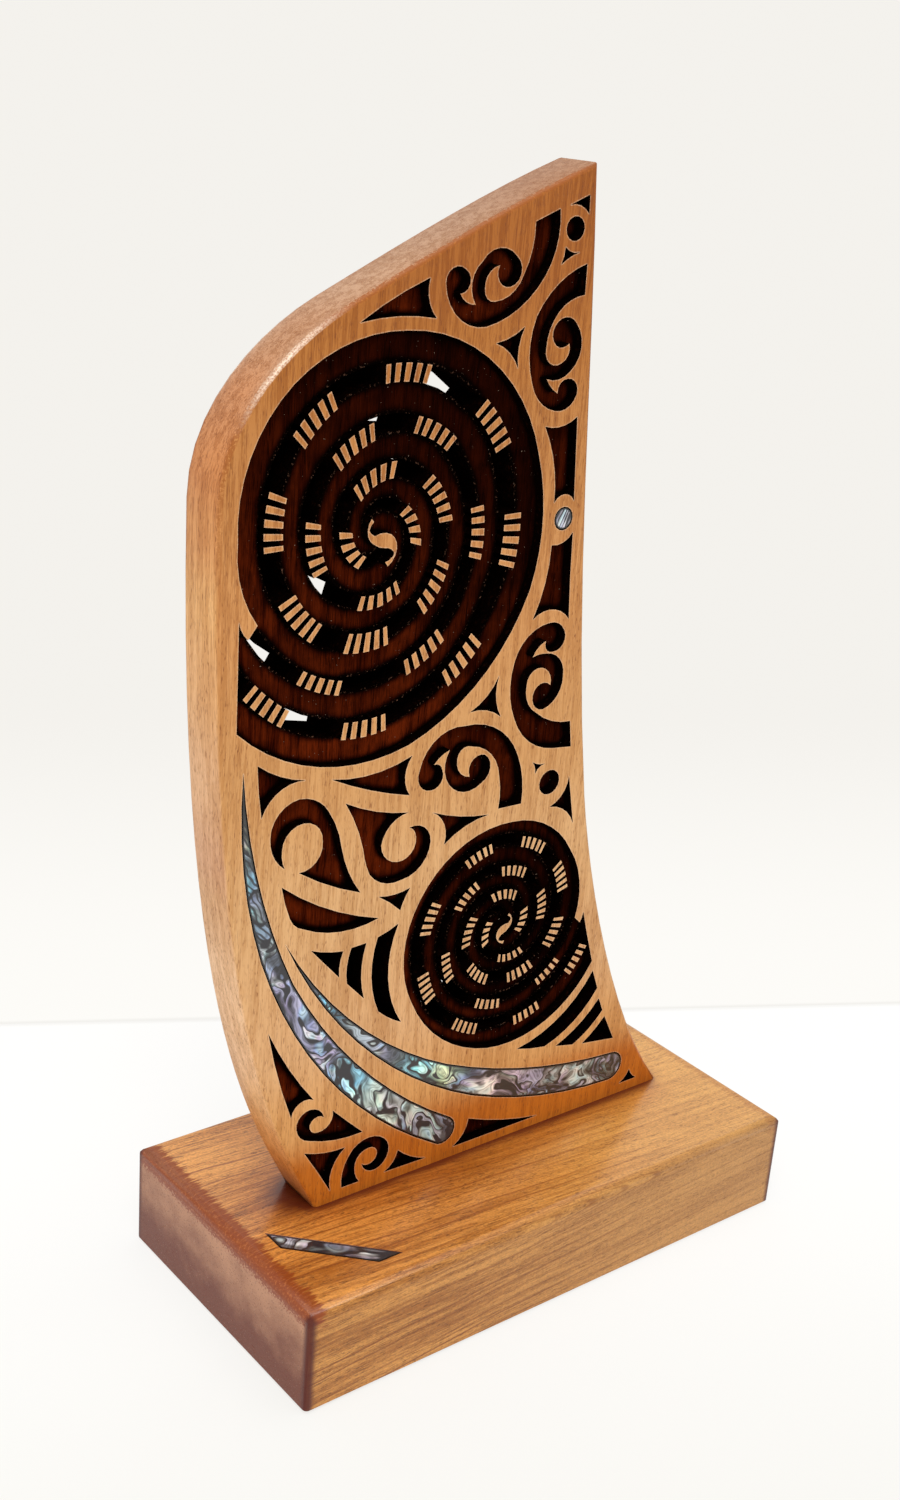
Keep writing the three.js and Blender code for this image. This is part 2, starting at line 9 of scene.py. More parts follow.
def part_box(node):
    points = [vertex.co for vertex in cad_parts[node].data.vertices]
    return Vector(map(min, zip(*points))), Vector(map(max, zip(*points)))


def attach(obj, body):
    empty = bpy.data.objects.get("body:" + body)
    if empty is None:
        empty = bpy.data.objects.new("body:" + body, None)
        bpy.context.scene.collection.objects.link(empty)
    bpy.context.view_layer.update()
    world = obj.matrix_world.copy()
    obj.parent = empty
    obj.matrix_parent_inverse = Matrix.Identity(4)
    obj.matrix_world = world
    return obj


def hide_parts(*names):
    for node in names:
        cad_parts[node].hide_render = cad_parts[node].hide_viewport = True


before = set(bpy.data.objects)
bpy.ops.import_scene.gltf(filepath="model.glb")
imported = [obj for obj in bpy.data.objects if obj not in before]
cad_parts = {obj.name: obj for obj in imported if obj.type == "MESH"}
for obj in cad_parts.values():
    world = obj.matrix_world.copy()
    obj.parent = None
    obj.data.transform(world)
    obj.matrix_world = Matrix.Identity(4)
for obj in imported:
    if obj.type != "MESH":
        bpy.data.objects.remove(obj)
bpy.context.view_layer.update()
print("frame loaded:", ", ".join(sorted(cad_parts)))


# small helpers for node trees
def putNode(tree, kind, inputs=None, **settings):
    node = tree.nodes.new(kind)
    for name, value in settings.items():
        setattr(node, name, value)
    for name, value in (inputs or {}).items():
        if isinstance(value, bpy.types.NodeSocket):
            tree.links.new(value, node.inputs[name])
        else:
            node.inputs[name].default_value = value
    return node


def calc(tree, operation, *values, clamp=False):
    inputs = {i: value for i, value in enumerate(values)}
    return putNode(tree, "ShaderNodeMath", inputs, operation=operation, use_clamp=clamp).outputs[0]


def blend(tree, factor, first, second, how="MIX"):
    inputs = {0: factor, 6: first, 7: second}
    return putNode(tree, "ShaderNodeMix", inputs, data_type="RGBA", blend_type=how).outputs[2]


def multiplied(tree, first, second):
    return blend(tree, 1.0, first, second, "MULTIPLY")


def product(tree, *values):
    result = values[0]
    for value in values[1:]:
        result = calc(tree, "MULTIPLY", result, value)
    return result


def vectorCalc(tree, operation, first, second, output="Vector"):
    inputs = {0: first, "Scale" if operation == "SCALE" else 1: second}
    return putNode(tree, "ShaderNodeVectorMath", inputs, operation=operation).outputs[output]


def joined(tree, x=0.0, y=0.0, z=0.0):
    return putNode(tree, "ShaderNodeCombineXYZ", {0: x, 1: y, 2: z}).outputs[0]


def grey(tree, value):
    return putNode(tree, "ShaderNodeCombineColor", {0: value, 1: value, 2: value}).outputs[0]


def remap(tree, value, low, high, toLow=0.0, toHigh=1.0):
    inputs = {"Value": value, "From Min": low, "From Max": high, "To Min": toLow, "To Max": toHigh}
    return putNode(tree, "ShaderNodeMapRange", inputs, interpolation_type="SMOOTHSTEP").outputs[0]


def noise(tree, vector, scale, detail=2.0, roughness=0.5, distortion=0.0, output=0):
    return putNode(tree, "ShaderNodeTexNoise", {
        "Vector": vector, "Scale": scale, "Detail": detail, "Roughness": roughness,
        "Distortion": distortion}).outputs[output]


def ramp(tree, factor, stops, how="EASE"):
    node = putNode(tree, "ShaderNodeValToRGB", {0: factor})
    band = node.color_ramp
    band.interpolation = how
    band.elements[0].position, band.elements[0].color = stops[0][0], (*stops[0][1], 1)
    band.elements[1].position, band.elements[1].color = stops[-1][0], (*stops[-1][1], 1)
    for place, colour in stops[1:-1]:
        band.elements.new(place).color = (*colour, 1)
    return node.outputs[0]


def makeGroup(name, inputs, outputs):
    group = bpy.data.node_groups.new(name, "ShaderNodeTree")
    for label, kind, value in inputs:
        socket = group.interface.new_socket(label, in_out="INPUT", socket_type="NodeSocket" + kind)
        if value is not None:
            socket.default_value = value
    for label, kind in outputs:
        group.interface.new_socket(label, in_out="OUTPUT", socket_type="NodeSocket" + kind)
    return group, group.nodes.new("NodeGroupInput").outputs, group.nodes.new("NodeGroupOutput").inputs


def useGroup(tree, group, inputs):
    node = tree.nodes.new("ShaderNodeGroup")
    node.node_tree = group
    for name, value in inputs.items():
        if isinstance(value, bpy.types.NodeSocket):
            tree.links.new(value, node.inputs[name])
        else:
            node.inputs[name].default_value = value
    return node.outputs


def startMaterial(name, **shader):
    material = bpy.data.materials.new(name)
    material.use_nodes = True
    principled = material.node_tree.nodes["Principled BSDF"]
    for label, value in shader.items():
        principled.inputs[label.replace("_", " ")].default_value = value
    return material, material.node_tree, principled.inputs


def millimetres(tree, order="XYZ"):
    # object coordinates in millimetres: a vector with its axes in the order asked for, and X, Y and Z
    place = putNode(tree, "ShaderNodeTexCoord").outputs["Object"]
    place = vectorCalc(tree, "SCALE", place, 1000.0)
    parts = putNode(tree, "ShaderNodeSeparateXYZ", {0: place}).outputs
    return joined(tree, *(parts[axis] for axis in order)), parts


def facingParts(tree):
    # X, Y and Z of the direction in which the surface faces
    facing = putNode(tree, "ShaderNodeNewGeometry").outputs["Normal"]
    return putNode(tree, "ShaderNodeSeparateXYZ", {0: facing}).outputs


def stretched(tree, parts, across, along):
    # a lookup vector with one scale over X and Y, and another along Z
    scales = (across, across, along)
    return joined(tree, *(calc(tree, "MULTIPLY", parts[i], scale) for i, scale in enumerate(scales)))


def centred(tree, value, amount):
    # a value round a half, moved to zero and scaled
    return calc(tree, "MULTIPLY", calc(tree, "SUBTRACT", value, 0.5), amount)


def fromMiddle(tree, value):
    # how far a value lies from a half
    return calc(tree, "ABSOLUTE", centred(tree, value, 1.0))


def distanceTo(tree, vector, centre):
    # distance in the carved face's plane
    flat = vectorCalc(tree, "MULTIPLY", vector, (1, 0, 1))
    return vectorCalc(tree, "DISTANCE", flat, centre, "Value")


def tinted(tree, colour, times):
    return multiplied(tree, colour, (*times, 1))


def addBump(tree, shader, height, strength, distance=0.0001):
    bump = putNode(tree, "ShaderNodeBump", {"Strength": strength, "Distance": distance, "Height": height})
    tree.links.new(bump.outputs[0], shader["Normal"])


# timber: streaks and thin broken lines along the vector's Z, and short dark pores
def makeTimber():
    group, given, result = makeGroup("timberGrain", [
        ("Vector", "Vector", None), ("Light", "Color", (0.6, 0.3, 0.1, 1)),
        ("Dark", "Color", (0.4, 0.15, 0.05, 1)), ("Pore", "Color", (0.1, 0.03, 0.01, 1)),
        ("Pore Amount", "Float", 0.6), ("Pore Length", "Float", 4.0), ("Pore Limit", "Float", 0.6),
        ("Figure", "Float", 0.5), ("Streaks", "Float", 1.0), ("Lines", "Float", 0.3),
    ], [("Color", "Color"), ("Pores", "Float"), ("Height", "Float")])
    parts = putNode(group, "ShaderNodeSeparateXYZ", {0: given["Vector"]}).outputs
    slow = stretched(group, parts, 0.025, 0.008)
    across = calc(group, "ADD", parts[0], centred(group, noise(group, slow, 1.0, 1.0), 8.0))
    placed = [across, parts[1], parts[2]]
    broad = noise(group, stretched(group, placed, 0.07, 0.012), 1.0, 2.0, 0.55)
    streak = noise(group, stretched(group, placed, 0.5, 0.02), 1.0, 2.0, 0.6)
    fine = noise(group, stretched(group, placed, 2.2, 0.13), 1.0, 3.0, 0.65)
    mixed = calc(group, "MULTIPLY_ADD", calc(group, "SUBTRACT", broad, 0.5), given["Figure"], 0.5)
    for layer in (streak, fine):
        mixed = calc(group, "MULTIPLY_ADD", calc(group, "SUBTRACT", layer, 0.5), given["Streaks"], mixed)
    colour = blend(group, remap(group, mixed, 0.25, 0.75), given["Dark"], given["Light"])
    contour = noise(group, stretched(group, placed, 0.55, 0.016), 1.0, 3.0, 0.6)
    contour = calc(group, "FRACT", calc(group, "MULTIPLY", contour, 7.0))
    contour = calc(group, "SUBTRACT", 1.0, remap(group, fromMiddle(group, contour), 0.02, 0.17))
    broken = remap(group, noise(group, stretched(group, placed, 0.9, 0.09), 1.0, 2.0, 0.6), 0.5, 0.62)
    contour = calc(group, "MULTIPLY", contour, broken)
    colour = blend(group, calc(group, "MULTIPLY", contour, given["Lines"]), colour, given["Pore"])
    poresPerMillimetre = 2.6
    dash = joined(group, calc(group, "MULTIPLY", across, poresPerMillimetre),
                  calc(group, "MULTIPLY", parts[1], poresPerMillimetre),
                  calc(group, "DIVIDE", parts[2], given["Pore Length"]))
    dash = noise(group, dash, 1.0, 1.0, 0.5)
    pores = remap(group, calc(group, "SUBTRACT", dash, given["Pore Limit"]), 0.0, 0.09)
    pores = calc(group, "MULTIPLY", pores, remap(group, streak, 0.62, 0.38, 0.4, 1.0))
    colour = blend(group, calc(group, "MULTIPLY", pores, given["Pore Amount"]), colour, given["Pore"])
    group.links.new(colour, result["Color"])
    group.links.new(pores, result["Pores"])
    group.links.new(calc(group, "SUBTRACT", calc(group, "MULTIPLY", fine, 0.6), pores), result["Height"])
    return group


timber = makeTimber()


# how much solid timber (inside) or free air lies round a point, within a reach in millimetres: low beside
# an edge or a wall
def closeness(tree, reach, inside=False, ownOnly=True):
    return putNode(tree, "ShaderNodeAmbientOcclusion", {"Distance": reach / 1000}, samples=16,
                   only_local=ownOnly, inside=inside).outputs["AO"]


# nacre: folded sheets between dark contour lines, each sheet shaded from one side to the other
def makeNacre():
    group, given, result = makeGroup("shellNacre", [
        ("Vector", "Vector", None), ("Tint", "Color", (0.5, 0.6, 0.7, 1)), ("Tint Amount", "Float", 0.6),
        ("Bands", "Float", 7.0), ("Line Width", "Float", 0.14), ("Warp", "Float", 14.0),
        ("Ink", "Color", (0.01, 0.01, 0.014, 1)),
    ], [("Color", "Color"), ("Lines", "Float"), ("Height", "Float")])
    bent = noise(group, given["Vector"], 0.07, 2.0, 0.55, output="Color")
    bent = vectorCalc(group, "SUBTRACT", bent, (0.5, 0.5, 0.5))
    bent = vectorCalc(group, "SCALE", bent, given["Warp"])
    bent = vectorCalc(group, "ADD", bent, given["Vector"])
    field = noise(group, bent, 0.075, 2.0, 0.5, 0.9)
    level = calc(group, "MULTIPLY", field, given["Bands"])
    index = calc(group, "FLOOR", level)
    within = calc(group, "FRACT", level)
    edge = calc(group, "MINIMUM", within, calc(group, "SUBTRACT", 1.0, within))
    uneven = noise(group, given["Vector"], 0.22, 2.0)
    width = calc(group, "MULTIPLY", given["Line Width"], remap(group, uneven, 0.36, 0.66, 0.2, 2.3))
    lines = calc(group, "SUBTRACT", 1.0, remap(group, calc(group, "DIVIDE", edge, width), 0.35, 1.0))
    seed = putNode(group, "ShaderNodeTexWhiteNoise", {"W": index}, noise_dimensions="1D").outputs["Value"]
    drift = noise(group, bent, 0.11, 2.0, 0.5)
    hue = calc(group, "MULTIPLY_ADD", seed, 0.7, calc(group, "MULTIPLY", drift, 2.0))
    sheen = ramp(group, calc(group, "FRACT", hue), [
        (0.0, (0.28, 0.31, 0.38)), (0.12, (0.08, 0.17, 0.46)), (0.24, (0.08, 0.46, 0.64)),
        (0.36, (0.42, 0.78, 0.66)), (0.48, (0.74, 0.74, 0.56)), (0.60, (0.50, 0.36, 0.44)),
        (0.74, (0.30, 0.20, 0.48)), (0.87, (0.06, 0.06, 0.14)), (1.0, (0.28, 0.31, 0.38))], "LINEAR")
    sheen = blend(group, given["Tint Amount"], sheen, given["Tint"])
    lensTones = [(0.0, 0.5), (0.2, 1.0), (0.55, 0.72), (1.0, 0.1)]
    lens = ramp(group, within, [(place, (tone,) * 3) for place, tone in lensTones])
    depth = remap(group, noise(group, bent, 0.16, 2.0, 0.5), 0.36, 0.62, 0.24, 1.3)
    ripple = calc(group, "FRACT", calc(group, "MULTIPLY", level, 4.0))
    ripple = remap(group, fromMiddle(group, ripple), 0.15, 0.5, 1.08, 0.62)
    shade = calc(group, "MULTIPLY", depth, ripple)
    sheen = multiplied(group, sheen, grey(group, shade))
    sheen = tinted(group, multiplied(group, sheen, lens), (1.35, 1.35, 1.35))
    colour = blend(group, lines, sheen, given["Ink"])
    group.links.new(colour, result["Color"])
    group.links.new(lines, result["Lines"])
    group.links.new(calc(group, "SUBTRACT", within, lines), result["Height"])
    return group


nacre = makeNacre()
print("node groups made")


# finishes of the panel; the tones are placed by height above the floor, in millimetres. The face and edge
# tones are partly the timber's own variation and partly painted light: painted shade darkening the face
# towards the crown, a painted warm reflection of the base low on the face and edge, and the outer edge
# painted paler than the face where it catches more light
panelFinish = {
    "face": [(42, (0.53, 0.153, 0.0135)), (50, (0.505, 0.145, 0.0155)), (66, (0.637, 0.315, 0.106)),
             (95, (0.648, 0.360, 0.163)), (140, (0.634, 0.356, 0.155)), (180, (0.572, 0.287, 0.104)),
             (230, (0.553, 0.253, 0.085)), (275, (0.455, 0.187, 0.052)), (300, (0.40, 0.145, 0.030)),
             (320, (0.345, 0.111, 0.020))],
    "edge": [(42, (0.48, 0.17, 0.045)), (52, (0.59, 0.21, 0.045)), (60, (0.645, 0.275, 0.088)),
             (80, (0.74, 0.40, 0.17)), (95, (0.80, 0.48, 0.255)), (125, (0.775, 0.475, 0.262)),
             (145, (0.67, 0.375, 0.185)), (160, (0.645, 0.345, 0.185)), (185, (0.72, 0.41, 0.215)),
             (215, (0.755, 0.41, 0.18)), (235, (0.74, 0.395, 0.155)), (255, (0.63, 0.28, 0.098)),
             (272, (0.55, 0.215, 0.072)), (290, (0.49, 0.21, 0.09)), (305, (0.445, 0.223, 0.115)),
             (318, (0.45, 0.255, 0.148)), (334, (0.39, 0.217, 0.127)), (345, (0.35, 0.175, 0.092))],
    "pore": (0.20, 0.055, 0.015, 1),
    "cutPaleAndHighlight": (0.84, 0.60, 0.40, 1),
    "crownWear": (0.31, 0.092, 0.019, 1),
    "shine": (0.93, 0.74, 0.55, 1),
    "heelJointShade": (0.05, 0.008, 0.002, 1),
    "shoulder": (-95.0, 0.0, 303.0),
    "floorLight": (0.118, 0.0145, 0.0024, 1),
    "floorDark": (0.030, 0.0030, 0.0006, 1),
    "char": (0.0012, 0.0004, 0.0003, 1),
    "soot": (0.009, 0.0020, 0.0008, 1),
    "chip": (0.22, 0.11, 0.07, 1),
    "dust": (0.34, 0.25, 0.19, 1),
    "bigSpiral": (-59, 0, 251),
    "smallSpiral": (-1, 0, 118),
}


def byHeight(tree, height, stops):
    # a colour that changes along the height, between the first and the last stop
    low, high = stops[0][0], stops[-1][0]
    share = calc(tree, "DIVIDE", calc(tree, "SUBTRACT", height, low), high - low)
    return ramp(tree, share, [((place - low) / (high - low), colour) for place, colour in stops])


def makePanelTimber():
    look = panelFinish
    material, tree, shader = startMaterial("panelTimber", Specular_IOR_Level=0.12, Coat_Roughness=0.3)
    vector, parts = millimetres(tree)
    facing = facingParts(tree)
    forward = calc(tree, "ABSOLUTE", facing["Y"])
    onEdge = remap(tree, forward, 0.75, 0.2)
    onRound = calc(tree, "MULTIPLY", remap(tree, forward, 0.99, 0.93), remap(tree, forward, 0.05, 0.3))
    # face and outer edge tones by height, carrying their painted shade, painted reflection and paler
    # painted edge
    face, edge = (byHeight(tree, parts["Z"], look[key]) for key in ("face", "edge"))
    tone = blend(tree, onEdge, face, edge)
    grain = useGroup(tree, timber, {
        "Vector": vector, "Light": tinted(tree, tone, (1.12, 1.15, 1.18)),
        "Dark": tinted(tree, tone, (0.85, 0.77, 0.66)), "Pore": look["pore"], "Pore Amount": 0.6,
        "Pore Length": 2.6, "Pore Limit": 0.585, "Figure": 0.7,
        "Streaks": remap(tree, parts["Z"], 200.0, 290.0, 0.95, 2.4),
        "Lines": remap(tree, parts["Z"], 200.0, 290.0, 0.3, 0.6)})
    rough = noise(tree, vector, 1.4, 3.0, 0.65)
    # pale cut edges round the carving, partly sanded fresh timber and partly a painted highlight on edges
    # the mesh keeps sharp, but not at the foot or on the round
    cutEdgeAndHighlight = product(tree, remap(tree, closeness(tree, 0.6, inside=True), 0.88, 0.6),
                      remap(tree, rough, 0.35, 0.65, 0.12, 0.5), remap(tree, parts["Z"], 37.5, 39.5),
                      remap(tree, forward, 0.98, 0.995))
    colour = blend(tree, cutEdgeAndHighlight, grain["Color"], look["cutPaleAndHighlight"])
    worn = product(tree, onRound, remap(tree, parts["Z"], 225.0, 300.0, 0.0, 0.95),
                   remap(tree, rough, 0.60, 0.50))
    colour = blend(tree, worn, colour, look["crownWear"])
    # a painted highlight along the shoulder's round-over: paler, sparkling colour where the coat is also
    # raised
    nearby = remap(tree, distanceTo(tree, vector, look["shoulder"]), 27.0, 4.0)
    shine = calc(tree, "MULTIPLY", onRound, nearby)
    sparkle = remap(tree, noise(tree, vector, 1.7, 3.0, 0.6), 0.38, 0.62, 0.2, 0.7)
    colour = blend(tree, calc(tree, "MULTIPLY", shine, sparkle), colour, look["shine"])
    # painted shade low on the outer edge, rising towards the back of the heel
    heelJointShade = calc(tree, "MULTIPLY_ADD", parts["Y"], -0.22, calc(tree, "SUBTRACT", parts["Z"], 37.0))
    heelJointShade = calc(tree, "MULTIPLY", onEdge, remap(tree, heelJointShade, 0.7, -0.3))
    colour = blend(tree, calc(tree, "MULTIPLY", heelJointShade, 0.92), colour, look["heelJointShade"])
    tree.links.new(colour, shader["Base Color"])
    tree.links.new(calc(tree, "MULTIPLY_ADD", shine, 0.85, 0.12), shader["Coat Weight"])
    tree.links.new(calc(tree, "MULTIPLY_ADD", grain["Pores"], 0.2, 0.42), shader["Roughness"])
    addBump(tree, shader, grain["Height"], 0.5)
    return material


def makeCarvedFloor():
    # brown in the middle of each floor and black towards walls and slots, partly scorch and partly painted
    # shade; darker high in the big spiral, towards the right and within both spirals
    look = panelFinish
    material, tree, shader = startMaterial("carvedFloor", Specular_IOR_Level=0.0)
    vector, parts = millimetres(tree)
    grain = useGroup(tree, timber, {
        "Vector": vector, "Light": look["floorLight"], "Dark": look["floorDark"], "Pore": look["char"],
        "Pore Amount": 0.6, "Pore Length": 4.0, "Pore Limit": 0.56, "Figure": 0.7, "Streaks": 0.8,
        "Lines": 0.3})
    cloudy = noise(tree, vector, 0.14, 3.0, 0.55)
    # near walls and slot edges the floor darkens: partly scorch, partly painted shade
    walls = calc(tree, "ADD", closeness(tree, 3.2), centred(tree, cloudy, 0.2))
    slots = closeness(tree, 3.0, inside=True)
    slotScorchAndShade = calc(tree, "ADD", slots, centred(tree, cloudy, 0.25))
    inBig = remap(tree, distanceTo(tree, vector, look["bigSpiral"]), 60.0, 55.0)
    inSmall = remap(tree, distanceTo(tree, vector, look["smallSpiral"]), 33.0, 30.0)
    high = calc(tree, "ADD", parts["Z"], calc(tree, "MULTIPLY", parts["X"], 0.5))
    high = calc(tree, "MULTIPLY", inBig, remap(tree, high, 190.0, 265.0))
    brownShare = product(tree, remap(tree, walls, 0.55, 0.9), remap(tree, slotScorchAndShade, 0.62, 1.02),
                    calc(tree, "MULTIPLY_ADD", high, -0.7, 1.0),
                    calc(tree, "MULTIPLY_ADD", inBig, -0.38, 1.0),
                    remap(tree, cloudy, 0.3, 0.65, 0.55, 1.0),
                    remap(tree, parts["X"], -70.0, 20.0, 1.2, 0.42),
                    calc(tree, "MULTIPLY_ADD", inSmall, -0.6, 1.0))
    colour = blend(tree, brownShare, look["char"], grain["Color"])
    scuffs = remap(tree, noise(tree, vector, 1.1, 3.0, 0.65), 0.56, 0.68)
    chips = calc(tree, "MULTIPLY", remap(tree, slots, 0.68, 0.56), scuffs)
    colour = blend(tree, calc(tree, "MULTIPLY", chips, 0.5), colour, look["chip"])
    dust = remap(tree, noise(tree, vector, 1.5, 1.0), 0.765, 0.80)
    colour = blend(tree, calc(tree, "MULTIPLY", dust, 0.5), colour, look["dust"])
    tree.links.new(colour, shader["Base Color"])
    tree.links.new(remap(tree, grain["Pores"], 0.0, 1.0, 0.6, 0.8), shader["Roughness"])
    addBump(tree, shader, grain["Height"], 0.5)
    return material


def makeCharredWall():
    look = panelFinish
    material, tree, shader = startMaterial("charredWall", Specular_IOR_Level=0.0)
    soot = noise(tree, millimetres(tree)[0], 0.8, 3.0, 0.6)
    colour = blend(tree, remap(tree, soot, 0.5, 0.8), look["char"], look["soot"])
    tree.links.new(colour, shader["Base Color"])
    tree.links.new(remap(tree, soot, 0.3, 0.7, 0.6, 0.85), shader["Roughness"])
    return material


def finishedCopy(node, name, isFlat):
    # the CAD mesh with its triangles joined: flat faces stay flat and the rounds between are smooth
    sharpAngle = math.radians(30)
    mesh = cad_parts[node].data.copy()
    mesh.name = name
    mesh.materials.clear()
    work = bmesh.new()
    work.from_mesh(mesh)
    bmesh.ops.remove_doubles(work, verts=work.verts, dist=1e-6)
    for face in work.faces:
        face.smooth = True
        face.material_index = 0
    work.to_mesh(mesh)
    work.free()
    mesh.set_sharp_from_angle(angle=sharpAngle)
    normals = [corner.vector.copy() for corner in mesh.corner_normals]
    flatAt = {}
    for polygon in mesh.polygons:
        if isFlat(polygon.normal):
            for vertex in polygon.vertices:
                flatAt.setdefault(vertex, []).append(polygon.normal.copy())
    for polygon in mesh.polygons:
        for loop, vertex in zip(polygon.loop_indices, polygon.vertices):
            for normal in flatAt.get(vertex, []):
                if normal.dot(polygon.normal) > math.cos(sharpAngle):
                    normals[loop] = normal
    mesh.normals_split_custom_set(normals)
    piece = bpy.data.objects.new(name, mesh)
    bpy.context.scene.collection.objects.link(piece)
    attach(piece, "root")
    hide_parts(node)
    return piece


def facesFrontOrBack(normal):
    return abs(normal.y) > 0.9999


def dressPanel():
    # the face, back and outer edge are bare timber, floors are burnt dark with painted shade, and inner
    # walls are charred
    panel = finishedCopy("carved_panel", "carvedPanel", facesFrontOrBack)
    for material in (makePanelTimber(), makeCarvedFloor(), makeCharredWall()):
        panel.data.materials.append(material)
    low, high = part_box("carved_panel")
    work = bmesh.new()
    work.from_mesh(panel.data)
    tree = BVHTree.FromBMesh(work)
    work.free()
    for polygon in panel.data.polygons:
        middle, outward = polygon.center, polygon.normal
        if facesFrontOrBack(outward):
            polygon.material_index = 0 if min(middle.y - low.y, high.y - middle.y) < 1e-4 else 1
        elif tree.ray_cast(middle + outward * 2e-5, outward)[0] is not None:
            polygon.material_index = 2
    finishes = [polygon.material_index for polygon in panel.data.polygons]
    print("panel faces by finish:", [finishes.count(i) for i in range(3)])


dressPanel()


# shell inlays: one sheet of nacre each, its tones drifting from the upper left end to the lower right end
glueColour = (0.006, 0.005, 0.006, 1)
shellFinish = {
    "stern_crescent_inlay": {
        "turn": -62, "stretch": 0.6, "shift": (13.0, 0.0, 4.0),
        "bands": 8.5, "line": 0.17, "warp": 15.0, "amount": 0.66,
        "ink": (0.012, 0.012, 0.018, 1), "striped": 0.36, "spots": [(-68.0, 93.0, 1.7), (-56.2, 71.5, 1.3)],
        "drift": [(0.0, (0.36, 0.38, 0.32)), (0.11, (0.30, 0.33, 0.27)), (0.20, (0.16, 0.30, 0.40)),
                  (0.30, (0.30, 0.36, 0.48)), (0.42, (0.34, 0.32, 0.46)), (0.56, (0.30, 0.30, 0.46)),
                  (0.665, (0.20, 0.62, 0.78)), (0.73, (0.62, 0.80, 0.68)), (0.81, (0.66, 0.70, 0.64)),
                  (0.88, (0.30, 0.30, 0.34)), (1.0, (0.42, 0.43, 0.42))],
    },
    "keel_crescent_inlay": {
        "turn": -24, "stretch": 0.6, "shift": (47.0, 0.0, 9.0),
        "bands": 8.0, "line": 0.16, "warp": 15.0, "amount": 0.68,
        "ink": (0.016, 0.013, 0.014, 1), "striped": 0.0, "spots": [],
        "drift": [(0.0, (0.36, 0.36, 0.44)), (0.09, (0.36, 0.36, 0.52)), (0.16, (0.20, 0.56, 0.72)),
                  (0.25, (0.34, 0.42, 0.44)), (0.36, (0.38, 0.42, 0.50)), (0.47, (0.22, 0.66, 0.72)),
                  (0.55, (0.62, 0.78, 0.40)), (0.60, (0.24, 0.26, 0.36)), (0.68, (0.66, 0.54, 0.50)),
                  (0.78, (0.30, 0.26, 0.33)), (0.88, (0.35, 0.32, 0.35)), (1.0, (0.38, 0.35, 0.39))],
    },
    "eye_inlay": {
        "turn": 80, "stretch": 0.6, "shift": (3.0, 0.0, 31.0),
        "bands": 13.0, "line": 0.3, "warp": 8.0, "amount": 0.7,
        "ink": (0.02, 0.02, 0.028, 1), "striped": 0.0, "spots": [],
        "drift": [(0.0, (0.52, 0.54, 0.60)), (1.0, (0.40, 0.42, 0.50))],
    },
    "base_corner_inlay": {
        "turn": -45, "stretch": 0.35, "shift": (8.0, 2.0, 0.0),
        "bands": 11.0, "line": 0.2, "warp": 8.0, "amount": 0.75,
        "ink": (0.018, 0.012, 0.016, 1), "striped": 0.0, "spots": [],
        "drift": [(0.0, (0.52, 0.52, 0.56)), (0.5, (0.44, 0.38, 0.42)), (1.0, (0.62, 0.58, 0.60))],
    },
}


def makeShell(node, look):
    material, tree, shader = startMaterial("shell_" + node, Coat_Weight=0.5, Coat_Roughness=0.05)
    low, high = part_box(node)
    vector, parts = millimetres(tree, "XZY" if node == "base_corner_inlay" else "XYZ")
    turned = (0, math.radians(look["turn"]), 0)
    placed = putNode(tree, "ShaderNodeMapping", {
        "Vector": vector, "Location": look["shift"], "Rotation": turned}).outputs[0]
    placed = vectorCalc(tree, "MULTIPLY", placed, (look["stretch"], 1, 1))
    start, stop = (low.x - high.z) * 1000, (high.x - low.z) * 1000
    along = calc(tree, "SUBTRACT", calc(tree, "SUBTRACT", parts["X"], parts["Z"]), start)
    along = calc(tree, "DIVIDE", along, stop - start)
    along = calc(tree, "ADD", along, centred(tree, noise(tree, vector, 0.12, 2.0), 0.1))
    grown = useGroup(tree, nacre, {
        "Vector": placed, "Tint": ramp(tree, along, look["drift"]), "Tint Amount": look["amount"],
        "Bands": look["bands"], "Line Width": look["line"], "Warp": look["warp"], "Ink": look["ink"]})
    colour = grown["Color"]
    if look["striped"]:
        stripe = vectorCalc(tree, "DOT_PRODUCT", vector, (0.82, 0.0, 0.57), "Value")
        stripe = calc(tree, "ADD", stripe, centred(tree, noise(tree, vector, 0.09, 2.0), 7.0))
        stripe = calc(tree, "FRACT", calc(tree, "DIVIDE", stripe, 1.7))
        stripe = remap(tree, fromMiddle(tree, stripe), 0.24, 0.40)
        upper = remap(tree, along, look["striped"], look["striped"] * 0.7, 0.0, 0.9)
        stripe = calc(tree, "MULTIPLY", stripe, upper)
        colour = blend(tree, stripe, colour, look["ink"])
    for x, z, radius in look["spots"]:
        uneven = centred(tree, noise(tree, vector, 0.9, 2.0), 1.5)
        away = calc(tree, "ADD", distanceTo(tree, vector, (x, 0, z)), uneven)
        colour = blend(tree, remap(tree, away, radius + 0.5, radius - 0.5), colour, look["ink"])
    glueLine = remap(tree, closeness(tree, 0.7, inside=True), 0.97, 0.72)
    colour = blend(tree, glueLine, colour, glueColour)
    tree.links.new(colour, shader["Base Color"])
    tree.links.new(remap(tree, grown["Lines"], 0.0, 1.0, 0.25, 0.45), shader["Roughness"])
    addBump(tree, shader, grown["Height"], 0.15)
    return material


def paint(node, material):
    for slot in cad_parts[node].material_slots:
        slot.link = "OBJECT"
        slot.material = material


for node, look in shellFinish.items():
    paint(node, makeShell(node, look))
print("inlays finished")


